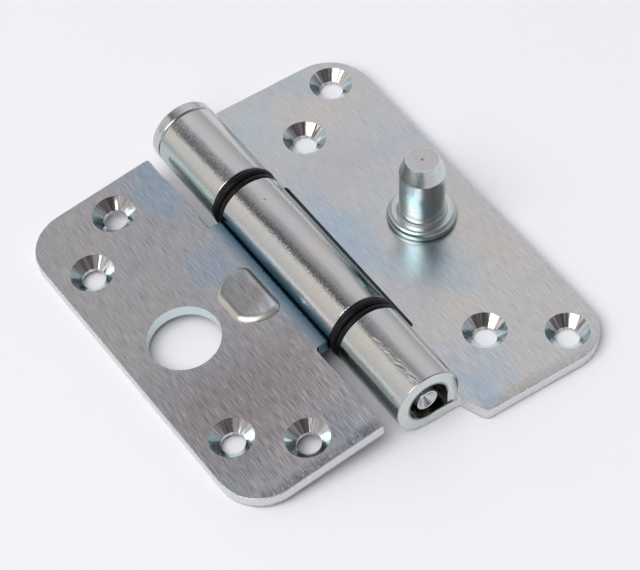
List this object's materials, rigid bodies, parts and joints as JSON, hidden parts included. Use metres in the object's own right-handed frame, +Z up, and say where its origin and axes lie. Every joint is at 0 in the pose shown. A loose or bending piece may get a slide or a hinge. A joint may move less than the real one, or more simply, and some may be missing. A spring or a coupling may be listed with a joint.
{
  "type": "security hinge",
  "caption": "Door hinge with two flat leaves on a bushed pin and a fixed stud that enters a hole in the other leaf on closing.",
  "frame": {"origin": "bottom centre of the whole hinge as it lies open on a table", "axes": "Y along the barrel with the pin's head at +Y, X across the leaves with the frame leaf and its stud on +X, Z up from the table, the way the stud points"},
  "size_m": [0.0888, 0.102, 0.0212],
  "materials": {
    "frame_leaf": "bright zinc plate over rolled steel sheet",
    "door_leaf": "bright zinc plate over rolled steel sheet",
    "hinge_pin": "turned, bright zinc plate",
    "security_stud": "turned, bright zinc plate",
    "bush": "black moulded nylon, satin"
  },
  "bodies": {
    "frame_half": {"frame_leaf": "frame_leaf", "security_stud": "security_stud", "hinge_pin": "hinge_pin", "upper_frame_bush": "bush", "lower_frame_bush": "bush"},
    "door_half": {"door_leaf": "door_leaf", "upper_door_bush": "bush", "lower_door_bush": "bush"}
  },
  "joints": [
    {"name": "leaf_hinge", "type": "hinge", "parent": "frame_half", "child": "door_half", "pos_m": [-0.00014, 0, 0.00785], "axis": [0, 1, 0], "range_deg": [-118, 188]}
  ]
}
